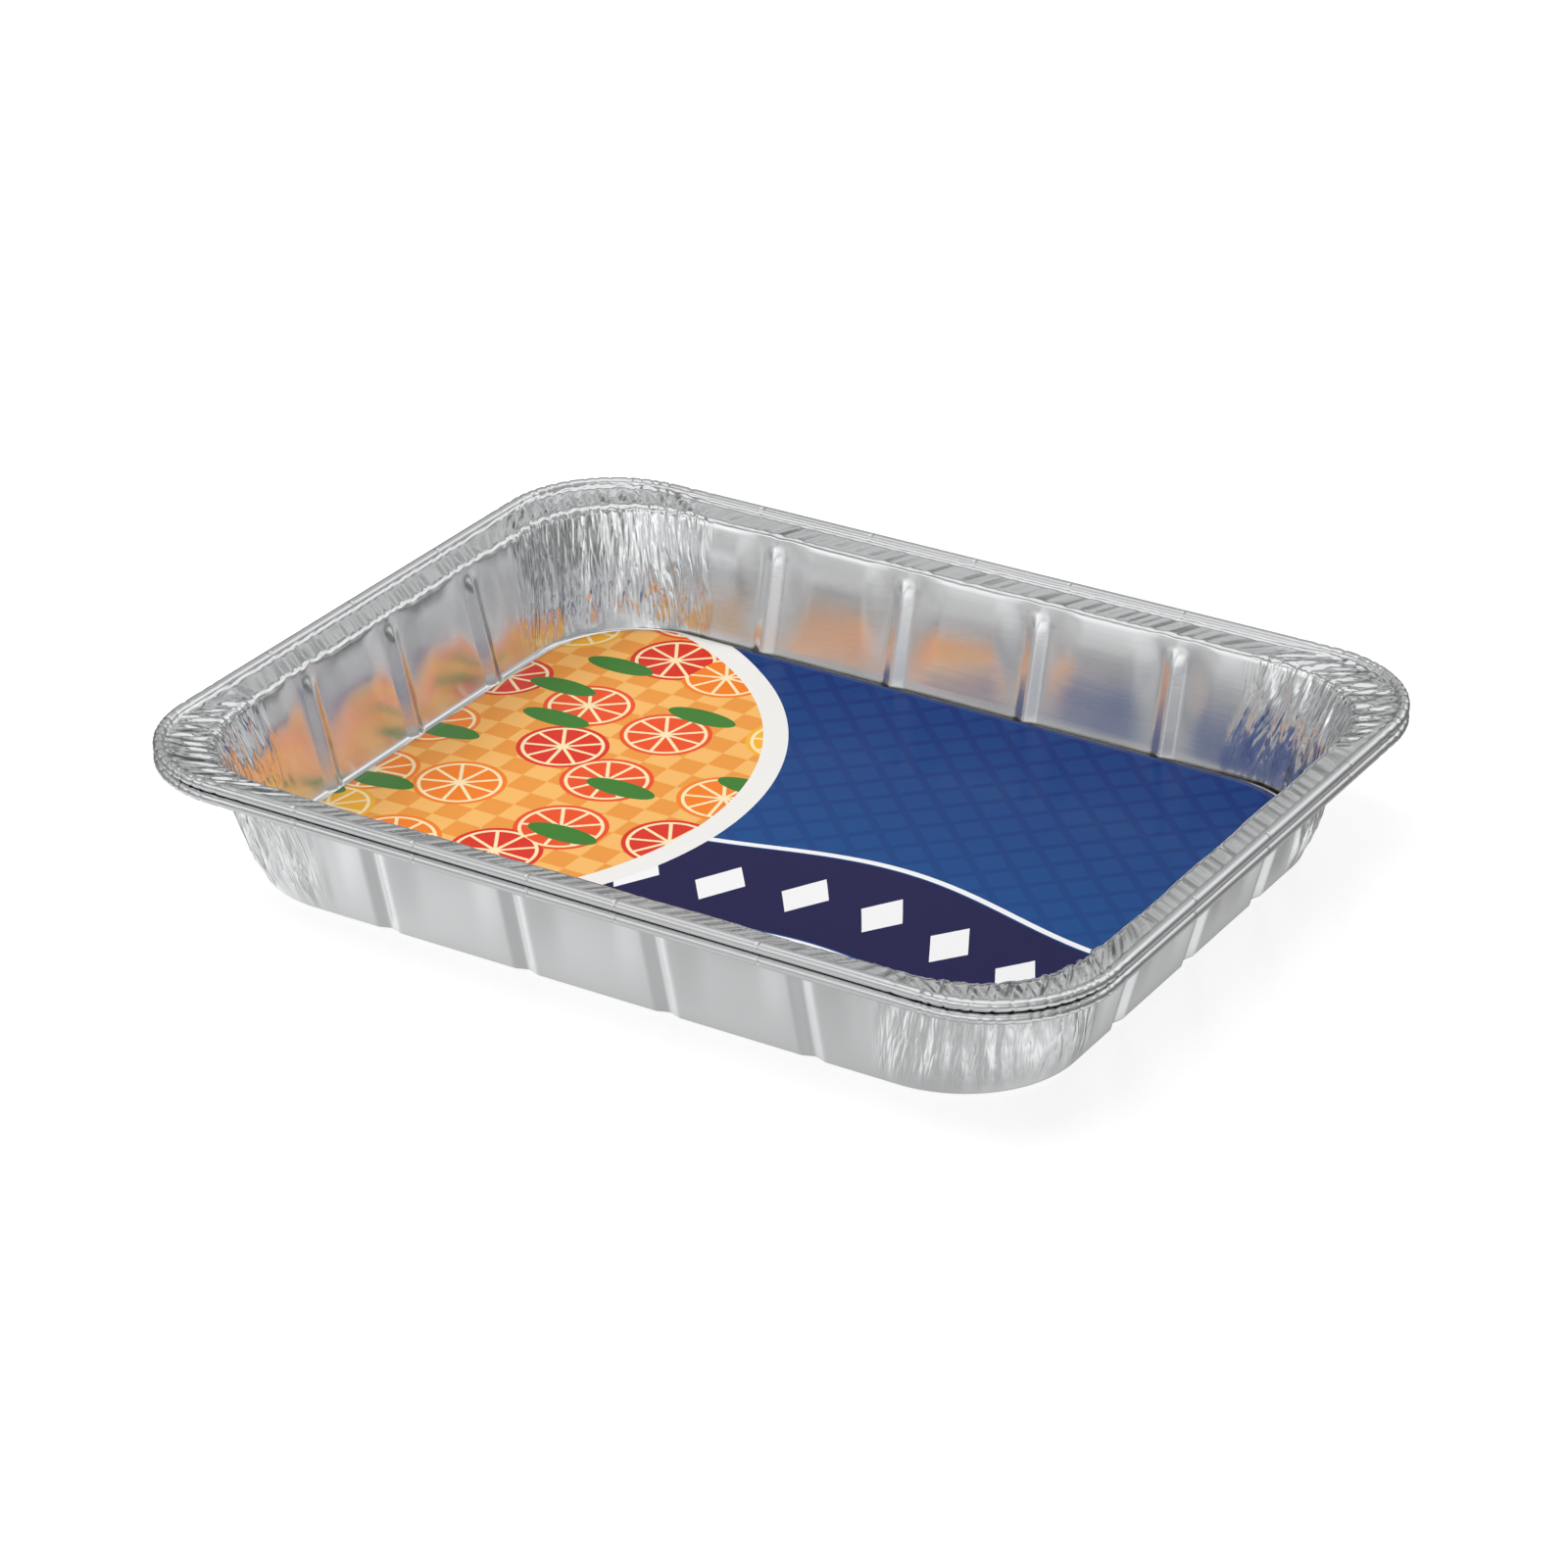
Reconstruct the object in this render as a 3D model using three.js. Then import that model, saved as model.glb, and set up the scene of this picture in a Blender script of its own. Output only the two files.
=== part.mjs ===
// Pack of two nested rectangular foil baking pans with a card laid in the upper one.
// Millimetres, +X along the long side, +Z up, origin under the middle of the lower base.
import * as THREE from "three";

// Rim: rolled bead round the edge and the ledge inside it
const RIM_LENGTH = 322;
const RIM_WIDTH = 258;
const RIM_CORNER_RADIUS = 39.5;
const BEAD_DIAMETER = 3.7;
const BEAD_TURN_DEG = 300;
const LEDGE_WIDTH = 9.3;
const LEDGE_RISE = 1.2;
const LEDGE_BELOW_CREST = 2.3;
const LEDGE_CORNER_RADIUS = 37.5;

// Body: drafted wall, rounded shoulder and base, raised panel in the base
const PAN_HEIGHT = 43;
const FOIL_GAUGE = 0.1;
const WALL_DRAFT_DEG = 14.5;
const SHOULDER_RADIUS = 4;
const BASE_FILLET = 3;
const BASE_CORNER_RADIUS = 37;
const FOOT_WIDTH = 12;
const PANEL_RISE = 1;
const PANEL_STEP = 2;

// Stiffening ribs pressed into the four walls
const RIB_WIDTH = 8;
const RIB_DEPTH = 2;
const RIB_TOP_DROP = 1.5;
const RIB_HIP = 5;
const LONG_SIDE_RIBS = 4;
const LONG_RIB_PITCH = 49;
const SHORT_SIDE_RIBS = 3;
const SHORT_RIB_PITCH = 44;

// Pleats gathered in the corners, deepest at the shoulder
const CORNER_PLEATS = 14;
const WALL_PLEAT_DEPTH = 0.9;
const BASE_PLEAT_DEPTH = 0.3;
const LEDGE_PLEAT_DROP = 0.6;

// Stack: bead seated on bead, card on the upper base
const SEAT_CLEARANCE = 0.3;
const CARD_THICKNESS = 0.4;
const CARD_CLEARANCE = 0.5;

const PLAIN_CORNER_STEPS = 10;
const BEAD_STEP_DEG = 30;

const radians = THREE.MathUtils.degToRad;
const draft = radians(WALL_DRAFT_DEG);
const stackPitch = BEAD_DIAMETER + SEAT_CLEARANCE;

// Centres of a row of ribs, measured from the middle of their side.
function rowOf(count, pitch) {
  return Array.from({ length: count }, (_, i) => (i - (count - 1) / 2) * pitch);
}

const longRow = rowOf(LONG_SIDE_RIBS, LONG_RIB_PITCH);
const shortRow = rowOf(SHORT_SIDE_RIBS, SHORT_RIB_PITCH);

// Fold pattern along one straight side: each rib is a V with its crest at full depth.
function sideStations(straight, row) {
  const stations = [{ along: -straight / 2, rib: 0 }];
  for (const centre of row) {
    stations.push({ along: centre - RIB_WIDTH / 2, rib: 0 });
    stations.push({ along: centre, rib: 1 });
    stations.push({ along: centre + RIB_WIDTH / 2, rib: 0 });
  }
  return stations;
}

// Fold pattern round one corner: ridges on the outline, valleys between them.
function cornerStations(folded) {
  const steps = folded ? 2 * CORNER_PLEATS : PLAIN_CORNER_STEPS;
  return Array.from({ length: steps }, (_, i) => ({
    angle: i / steps * Math.PI / 2,
    pleat: folded ? i % 2 : 0,
  }));
}

// One closed ring round the pan: four sides and four corners, counterclockwise from the +X side.
// out is the offset from the outermost line of the rim, negative towards the middle.
// A ring with rib set, even to 0, carries the corners of every rib.
function ring({ out, z, radius, rib = null, pleat = 0, drop = 0 }) {
  const halfX = RIM_LENGTH / 2 + out;
  const halfY = RIM_WIDTH / 2 + out;
  const straightX = 2 * (halfX - radius);
  const straightY = 2 * (halfY - radius);
  const folded = pleat > 0 || drop > 0;
  const segments = [];
  for (let turn = 0; turn < 4; turn++) {
    const alongY = turn % 2 === 0;
    const straight = alongY ? straightY : straightX;
    const face = alongY ? halfX : halfY;
    const sideRow = alongY ? shortRow : longRow;
    const row = rib === null ? [] : sideRow;
    const heading = turn * Math.PI / 2;
    const place = (across, along, level) => new THREE.Vector3(
      across * Math.cos(heading) - along * Math.sin(heading),
      across * Math.sin(heading) + along * Math.cos(heading),
      level,
    );
    segments.push(sideStations(straight, row).map((s) => ({
      t: s.along,
      point: place(face - s.rib * rib, s.along, z),
    })));
    segments.push(cornerStations(folded).map((s) => {
      const reach = radius - s.pleat * pleat;
      return {
        t: s.angle,
        point: place(
          face - radius + reach * Math.cos(s.angle),
          straight / 2 + reach * Math.sin(s.angle),
          z - s.pleat * drop,
        ),
      };
    }));
  }
  return segments;
}

// Closed sheet between two matching runs of rings, from the middle of the pan out to the edge.
// Both faces are split the same way, so the gauge between them stays even over every fold.
function sheet(upper, lower) {
  const positions = [];
  const faces = [];
  const add = (p) => positions.push(p.x, p.y, p.z) / 3 - 1;
  const number = (rings) => rings.map((segments) => segments.map((segment) => (
    segment.map((s) => ({ t: s.t, id: add(s.point) }))
  )));
  const face = (a, b, c, flipped) => faces.push(a, flipped ? c : b, flipped ? b : c);
  const stretch = (segments, k) => {
    const end = { t: Infinity, id: segments[(k + 1) % 8][0].id };
    return [...segments[k], end];
  };
  const band = (inner, outer, flipped) => {
    for (let k = 0; k < 8; k++) {
      const a = stretch(inner, k);
      const b = stretch(outer, k);
      let i = 0;
      let j = 0;
      while (i + 1 < a.length || j + 1 < b.length) {
        const stepB = i + 1 === a.length || (j + 1 < b.length && b[j + 1].t <= a[i + 1].t + 1e-6);
        face(a[i].id, b[j].id, stepB ? b[j + 1].id : a[i + 1].id, flipped);
        i += stepB ? 0 : 1;
        j += stepB ? 1 : 0;
      }
    }
  };
  const cap = (ids, middle, flipped) => {
    const centre = add(middle);
    ids.forEach((id, n) => face(centre, id, ids[(n + 1) % ids.length], flipped));
  };
  const edges = [[upper, false], [lower, true]].map(([rings, flipped]) => {
    const level = rings[0][0][0].point.z;
    const numbered = number(rings);
    cap(numbered[0].flat().map((s) => s.id), new THREE.Vector3(0, 0, level), flipped);
    for (let r = 0; r + 1 < numbered.length; r++) {
      band(numbered[r], numbered[r + 1], flipped);
    }
    return numbered.at(-1);
  });
  band(edges[0], edges[1], false);
  const geometry = new THREE.BufferGeometry();
  geometry.setAttribute("position", new THREE.Float32BufferAttribute(positions, 3));
  geometry.setIndex(faces);
  geometry.computeVertexNormals();
  return geometry;
}

// Levels and offsets that the rim, the wall and the base share
const beadRadius = BEAD_DIAMETER / 2;
const rootZ = PAN_HEIGHT - LEDGE_BELOW_CREST;
const ledgeZ = rootZ - LEDGE_RISE;
const floorZ = FOIL_GAUGE;
const wallTopOut = -BEAD_DIAMETER - LEDGE_WIDTH;
const wallFootOut = wallTopOut - (ledgeZ - floorZ) * Math.tan(draft);
const ledgeSlope = Math.atan2(LEDGE_RISE, LEDGE_WIDTH);
const shoulderTurn = Math.PI / 2 - draft - ledgeSlope;
const baseTurn = Math.PI / 2 - draft;
const shoulderReach = SHOULDER_RADIUS * Math.tan(shoulderTurn / 2);
const baseReach = BASE_FILLET * Math.tan(baseTurn / 2);

// Point on the straight line of the wall at a height above the floor.
function onWall(height) {
  const share = height / (ledgeZ - floorZ);
  return {
    out: wallFootOut + height * Math.tan(draft),
    z: floorZ + height,
    radius: THREE.MathUtils.lerp(BASE_CORNER_RADIUS, LEDGE_CORNER_RADIUS, share),
    pleat: THREE.MathUtils.lerp(BASE_PLEAT_DEPTH, WALL_PLEAT_DEPTH, share),
  };
}

// Upper face of the sheet, from the panel in the base out to the free edge of the curl.
function upperFace() {
  const floorRing = (inset, z) => ({
    out: wallFootOut - inset,
    z,
    radius: BASE_CORNER_RADIUS - inset,
  });
  const wallFoot = onWall(baseReach * Math.cos(draft));
  const wallHead = onWall(ledgeZ - floorZ - shoulderReach * Math.cos(draft));
  const ribEnd = onWall(wallHead.z - floorZ - RIB_TOP_DROP);
  const ribCrest = onWall(wallHead.z - floorZ - RIB_TOP_DROP - RIB_HIP);
  const filletMid = {
    out: wallFootOut - baseReach + BASE_FILLET * Math.sin(baseTurn / 2),
    z: floorZ + BASE_FILLET * (1 - Math.cos(baseTurn / 2)),
    radius: BASE_CORNER_RADIUS,
    rib: RIB_DEPTH * 0.6,
    pleat: BASE_PLEAT_DEPTH * 0.6,
  };
  const ledgeEdge = {
    out: wallTopOut + shoulderReach * Math.cos(ledgeSlope),
    z: ledgeZ + shoulderReach * Math.sin(ledgeSlope),
    radius: LEDGE_CORNER_RADIUS,
    drop: LEDGE_PLEAT_DROP,
  };
  const bend = shoulderTurn / 2 + ledgeSlope;
  const shoulderMid = {
    out: ledgeEdge.out + SHOULDER_RADIUS * (Math.sin(ledgeSlope) - Math.sin(bend)),
    z: ledgeEdge.z - SHOULDER_RADIUS * (Math.cos(ledgeSlope) - Math.cos(bend)),
    radius: LEDGE_CORNER_RADIUS,
    pleat: WALL_PLEAT_DEPTH * 0.6,
    drop: LEDGE_PLEAT_DROP * 0.6,
  };
  const rings = [
    floorRing(baseReach + FOOT_WIDTH + PANEL_STEP, floorZ + PANEL_RISE),
    floorRing(baseReach + FOOT_WIDTH, floorZ),
    { ...floorRing(baseReach, floorZ), rib: 0 },
    filletMid,
    { ...wallFoot, rib: RIB_DEPTH },
    { ...ribCrest, rib: RIB_DEPTH },
    { ...ribEnd, rib: 0 },
    wallHead,
    shoulderMid,
    ledgeEdge,
  ];
  const rootDeg = 180 + THREE.MathUtils.radToDeg(Math.asin(LEDGE_BELOW_CREST / beadRadius - 1));
  const edgeDeg = rootDeg - BEAD_TURN_DEG;
  const between = [];
  for (let deg = 180; deg > edgeDeg; deg -= BEAD_STEP_DEG) {
    if (deg < rootDeg) {
      between.push(deg);
    }
  }
  for (const deg of [rootDeg, ...between, edgeDeg]) {
    const out = beadRadius * (Math.cos(radians(deg)) - 1);
    rings.push({
      out,
      z: PAN_HEIGHT - beadRadius + beadRadius * Math.sin(radians(deg)),
      radius: RIM_CORNER_RADIUS + out,
      drop: deg === rootDeg ? LEDGE_PLEAT_DROP / 2 : 0,
    });
  }
  return rings;
}

// Lower face of the sheet: the upper one moved through the gauge, square to the profile.
function lowerFace(face) {
  return face.map((spec, i) => {
    const before = face[Math.max(i - 1, 0)];
    const after = face[Math.min(i + 1, face.length - 1)];
    const towards = (a, b) => new THREE.Vector2(b.z - a.z, a.out - b.out).normalize();
    const first = i === 0 ? new THREE.Vector2(0, -1) : towards(before, spec);
    const second = i === face.length - 1 ? first : towards(spec, after);
    const shift = first.clone().add(second).multiplyScalar(FOIL_GAUGE / (1 + first.dot(second)));
    return {
      ...spec,
      out: spec.out + shift.x,
      z: spec.z + shift.y,
      radius: spec.radius + shift.x,
    };
  });
}

function panGeometry() {
  const face = upperFace();
  return sheet(face.map(ring), lowerFace(face).map(ring));
}

function cardGeometry() {
  const inset = RIB_DEPTH + CARD_CLEARANCE;
  const outline = { out: wallFootOut - inset, radius: BASE_CORNER_RADIUS - inset };
  const [top, bottom] = [CARD_THICKNESS, 0].map((z) => ring({ ...outline, z }));
  return sheet([top], [bottom]);
}

function foil() {
  return new THREE.MeshStandardMaterial({ color: 0xc8cacc, metalness: 1, roughness: 0.3 });
}

const lowerPan = new THREE.Mesh(panGeometry(), foil());
lowerPan.name = "lower_pan";

const upperPan = new THREE.Mesh(panGeometry(), foil());
upperPan.name = "upper_pan";
upperPan.position.z = stackPitch;

const cardInsert = new THREE.Mesh(
  cardGeometry(),
  new THREE.MeshStandardMaterial({ color: 0x0b4f95, metalness: 0, roughness: 0.3 }),
);
cardInsert.name = "card_insert";
cardInsert.position.z = stackPitch + floorZ + PANEL_RISE + SEAT_CLEARANCE;

const pack = new THREE.Group();
pack.name = "foil_pan_pack";
pack.add(lowerPan, upperPan, cardInsert);

export default pack;
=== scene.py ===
import math

import bpy
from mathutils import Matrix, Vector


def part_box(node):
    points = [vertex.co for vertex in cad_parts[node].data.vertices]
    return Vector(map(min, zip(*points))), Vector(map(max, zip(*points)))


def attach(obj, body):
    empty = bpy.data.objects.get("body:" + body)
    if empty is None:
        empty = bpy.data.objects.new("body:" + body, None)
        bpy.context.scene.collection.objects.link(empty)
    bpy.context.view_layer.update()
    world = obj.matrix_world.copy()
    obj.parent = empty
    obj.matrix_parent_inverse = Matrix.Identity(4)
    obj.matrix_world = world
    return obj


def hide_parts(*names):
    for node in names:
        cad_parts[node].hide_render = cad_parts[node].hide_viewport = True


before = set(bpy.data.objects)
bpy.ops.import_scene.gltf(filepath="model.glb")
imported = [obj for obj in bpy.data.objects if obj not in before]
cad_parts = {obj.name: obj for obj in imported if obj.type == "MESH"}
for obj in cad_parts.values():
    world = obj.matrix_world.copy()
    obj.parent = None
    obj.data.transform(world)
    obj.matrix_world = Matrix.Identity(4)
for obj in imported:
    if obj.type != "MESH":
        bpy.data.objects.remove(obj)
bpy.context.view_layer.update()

# Sizes of the pieces are in millimetres up to where they meet Blender, which takes metres.
MM = 0.001

# The pan, as its solid has it. Shoulder and fillet are tighter, to draw the bright lines along its edges.
RIM_CORNER_RADIUS = 39.5
BEAD_DIAMETER = 3.7
BEAD_TURN_DEG = 300
LEDGE_WIDTH = 9.3
LEDGE_RISE = 1.2
LEDGE_BELOW_CREST = 2.3
LEDGE_CORNER_RADIUS = 37.5
FOIL_GAUGE = 0.1
WALL_DRAFT = math.radians(14.5)
SHOULDER_RADIUS = 1.8
BASE_FILLET = 1.6
BASE_CORNER_RADIUS = 37
FOOT_WIDTH = 12
PANEL_RISE = 1
PANEL_STEP = 2

# Ribs run out in a hip under the shoulder, where they widen and keep only a tuck of their depth
RIB_WIDTH = 8
RIB_CREST = 0.8
RIB_TOP_DROP = 1.5
RIB_HIP = 5
RIB_HIP_SPREAD = 0.4
RIB_TUCK = 0.15
LONG_SIDE_RIBS = 4
LONG_RIB_PITCH = 49
SHORT_SIDE_RIBS = 3
SHORT_RIB_PITCH = 44

# The wall bows inwards between the ribs, most at the peak's share of its height
BOW_PEAK = 0.72
BOW_AT_SHOULDER = 0.4
BOW_FROM_RIB = (3, 16)

# Rows of points up the profile, which crowd towards the top of the wall
BASE_SHARES = (0, 0.5, 0.88)
PANEL_ROWS = 3
FILLET_ROWS = 4
WALL_ROWS = 13
WALL_CROWDING = 1.3
SHOULDER_ROWS = 5
LEDGE_ROWS = 5
BEAD_ROWS = 9

# How strong the ribs, wrinkles, pleats and nicks are where they begin and fade on the profile
RIB_ON_FOOT = (1.2, 0.75)
WRINKLE_START = 0.25
WRINKLE_ON_LEDGE = 0.2
PLEAT_AT_EDGE = 0.9
PLEAT_BY_BEAD = 0.5
PLEAT_ON_BEAD = 0.4
PLEAT_END_ON_BEAD = 0.125
NICK_START_ON_BEAD = 0.2

# Path round the pan: its corners turn about the ends of the core, and near the middle of a side
# it stands still from floor to rim, so that the ribs stay upright.
CORE = (108, 76)
STILL = (84, 56)
CORNER_STEPS = 86
GATHER_REACH = 15
GATHER_STEP = 0.9
PLAIN_STEP = 1.2
RIB_STATIONS = (-6.5, -5, -4, -3.2, -1.8, -0.4, 0.4, 1.8, 3.2, 4, 5, 6.5)
FAR_FROM_RIBS = 1000
MERGE_WITHIN = 0.01

# Folds of the corners wander sideways over some 17 mm and are nine times as tall as wide. Each set
# has its closeness and its depth.
WANDER_SCALE = (60, 55, 1)
WANDER = 2.1
FOLD_SQUEEZE = 0.11
FOLD_SETS = ((1.0, 2.0), (2.1, 0.8))

# Crimps lie aslant on the ledge, with a share of their depth for its right, back, left and front
CRIMP_SPACING = 4
CRIMP_SLANT = 0.7
CRIMPED = (1, 0.3, 1, 0.8)

# How unevenly the pleats of the corners lie, and how wide a nick in the bead is for its spacing
PLEAT_SCATTER = 0.75
NICK_WIDTH = 0.16

# Finish of the foil: patterns per metre, then roughness and what changes it
ROLL_LINES = (18, 900, 900)
CLOUDS = 30.0
CLOUD_SHARE = 0.6
CREASES = (480, 85, 0)
LONE_NICKS = 25.0
LONE_NICK_WIDTH = 0.02
SMOOTHEST, ROUGHEST = 0.12, 0.25
CORNER_BURNISH = 0.6
BEAD_DULLNESS = 0.13

# Relief of the foil: its height, and how high each mark stands in it
RELIEF = 0.6
RELIEF_STRENGTH = 0.6
ROLL_RELIEF = 0.04
CREASE_RELIEF = 2.4
CRIMP_EDGE = 0.35
SIDE_CRIMP_RELIEF = 1.6
CORNER_CRIMP_RELIEF = 3.8
NICK_RELIEF = 0.5

# Card: cut shape, and how far its edges hang down or curl up outside the panel
CARD_INSET = 2.5
CARD_CORNER_STEPS = 24
CARD_SIDE_STEPS = (40, 30)
CARD_RINGS = (0.06, 0.2, 0.36, 0.52, 0.66, 0.78, 0.86, 0.9, 0.93, 0.96, 0.98, 1.0)
CARD_DROOP = -0.95
CARD_CURL = 0.7
CARD_CURL_FROM = 0.88
CARD_BEND_SPREAD = 0.8

# Print of the card: ground, band with its lozenges, then the round panel with slices and leaves. What
# repeats is given per metre, with its edges and radii as shares of a cell.
# Reach of the painted shade that darkens the card's blue ground towards the back
PAINTED_SHADE_REACH = 100
LATTICE = (90, 90, 0)
LATTICE_TURN_DEG = 45
LATTICE_EDGE = (0.36, 0.40)
LATTICE_SHOW = 0.08
BAND_WAVE = 170
BAND_SWING = 8
BAND_AT = -38
BAND_HALF = 25.5
BAND_SOFTNESS = 0.4
BAND_EDGE = 27.5
BAND_EDGE_HALF = 1.2
LOZENGE_BEAT = 13
LOZENGE_HALF = 7.5
LOZENGE_SLIMNESS = 0.62
ROUNDEL_CENTRE = (-137, -4)
ROUNDEL_RADIUS = 112
ROUNDEL_RIM = 120
CHECKS = 110.0
SLICES = 27.0
SLICE_SCATTER = 0.55
SEGMENTS = 9
WEB = 0.022
PEEL, PITH, PULP = 0.40, 0.36, 0.33
FLESH = ((0.0, "#e8501f"), (0.36, "#f07f1e"), (0.55, "#d8311d"), (0.72, "#f2b02b"))
LEAVES = (13, 34, 0)
LEAF_TURN_DEG = 35
LEAF_SCATTER = 0.8
LEAF = 0.16
VARNISH_RIPPLES = 60.0
FIBRES = 600.0

# Studio, in metres and watts
WALL_AWAY = 2.2
WALL_HEIGHT = 3.1
WALL_SIDES = 48
SHEET_BELOW = 1.5
FLOOR_HALF = 6.0
FLOOR_LEVEL = -0.0001
LAMPS = (
    ("overhead_softbox", (-0.15, -0.3, 1.7), 1.2, 13),
    ("left_softbox", (-1.3, 0.0, 1.17), 0.7, 13),
)

# Glow of the paper sheet: in the middle, then what it gains with the square of the way to either
# side, towards the front and towards the right, up to its brightest
SHEET_GLOW = 0.466
SHEET_SIDES = 0.17
SHEET_FRONT = 0.036
SHEET_RIGHT = 0.134
SHEET_BRIGHTEST = 1.05

# Ways from the pack to the bright front of the wall and to the bright panel on it
WALL_FRONT = (-0.2, -0.98, 0.0)
WALL_PANEL = (0.5, 0.866, 0.0)

# Camera, as fitted to the photograph, in degrees and metres, with its lens in millimetres
CAMERA_AZIMUTH = 31.34
CAMERA_ELEVATION = 27.66
CAMERA_DISTANCE = 1.568
CAMERA_SENSOR = 36
CAMERA_LENS = 117.54
CAMERA_SHIFT = (-0.0013, 0.0421)

WHITE = (1, 1, 1, 1)

# Kinds of node, and the sockets of a Mix node that lays one colour over another
MATH = "ShaderNodeMath"
VECTOR = "ShaderNodeVectorMath"
MIX = "ShaderNodeMix"
NOISE = "ShaderNodeTexNoise"
VORONOI = "ShaderNodeTexVoronoi"
XYZ = "ShaderNodeCombineXYZ"
SPLIT = "ShaderNodeSeparateXYZ"
RANGE = "ShaderNodeMapRange"
RAMP = "ShaderNodeValToRGB"
PLACE = "ShaderNodeTexCoord"
FIELD = "ShaderNodeAttribute"
BUMP = "ShaderNodeBump"
SHADER = "ShaderNodeBsdfPrincipled"
GLOW = "ShaderNodeEmission"
FINISH = "ShaderNodeOutputMaterial"
COVER, UNDER, OVER, MIXED = 0, 6, 7, 2


def linear(code):
    """Linear colour of an sRGB hex value."""
    channels = [int(code[i:i + 2], 16) / 255 for i in (1, 3, 5)]
    return [c / 12.92 if c <= 0.04045 else ((c + 0.055) / 1.055) ** 2.4 for c in channels] + [1]


def node(tree, kind, inputs=(), out=0, **settings):
    """Adds a node, sets it, links or fills its inputs, and gives one of its outputs."""
    made = tree.nodes.new(kind)
    for key, value in settings.items():
        setattr(made, key, value)
    for key, value in inputs.items() if isinstance(inputs, dict) else enumerate(inputs):
        if isinstance(value, bpy.types.NodeSocket):
            tree.links.new(value, made.inputs[key])
        elif value is not None:
            made.inputs[key].default_value = value
    return made.outputs[out] if made.outputs else None


def blend(a, b, share):
    return a + (b - a) * share


def ease(share):
    share = min(max(share, 0), 1)
    return share * share * (3 - 2 * share)


def turned(turn, a, b):
    """Flat vector after that many quarter turns."""
    cos, sin = ((1, 0), (0, 1), (-1, 0), (0, -1))[turn]
    return (a * cos - b * sin, a * sin + b * cos, 0)


def linked(name, data):
    made = bpy.data.objects.new(name, data)
    bpy.context.scene.collection.objects.link(made)
    return made


def line_of(name, points, closed, fields):
    """Line of edges whose points carry vector attributes."""
    count = len(points)
    edges = [(i, (i + 1) % count) for i in range(count if closed else count - 1)]
    mesh = bpy.data.meshes.new(name)
    mesh.from_pydata(points, edges, [])
    for key, rows in fields.items():
        layer = mesh.attributes.new(key, "FLOAT_VECTOR", "POINT")
        layer.data.foreach_set("vector", [number for row in rows for number in row])
    return linked(name, mesh)


rim_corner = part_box("lower_pan")[1]
RIM_HALF = (rim_corner.x / MM, rim_corner.y / MM)
PAN_HEIGHT = rim_corner.z / MM
STACK_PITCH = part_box("upper_pan")[0].z / MM

# What the points of the path and of the profile carry. The sweep alone needs some of it, the foil the rest.
PATH_FIELDS = ("core", "stretch", "outward", "walk", "side")
PROFILE_FIELDS = ("shape", "facing", "place", "folds", "marks")
SWEEP_ONLY = ("core", "stretch", "outward", "shape", "facing")


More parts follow.
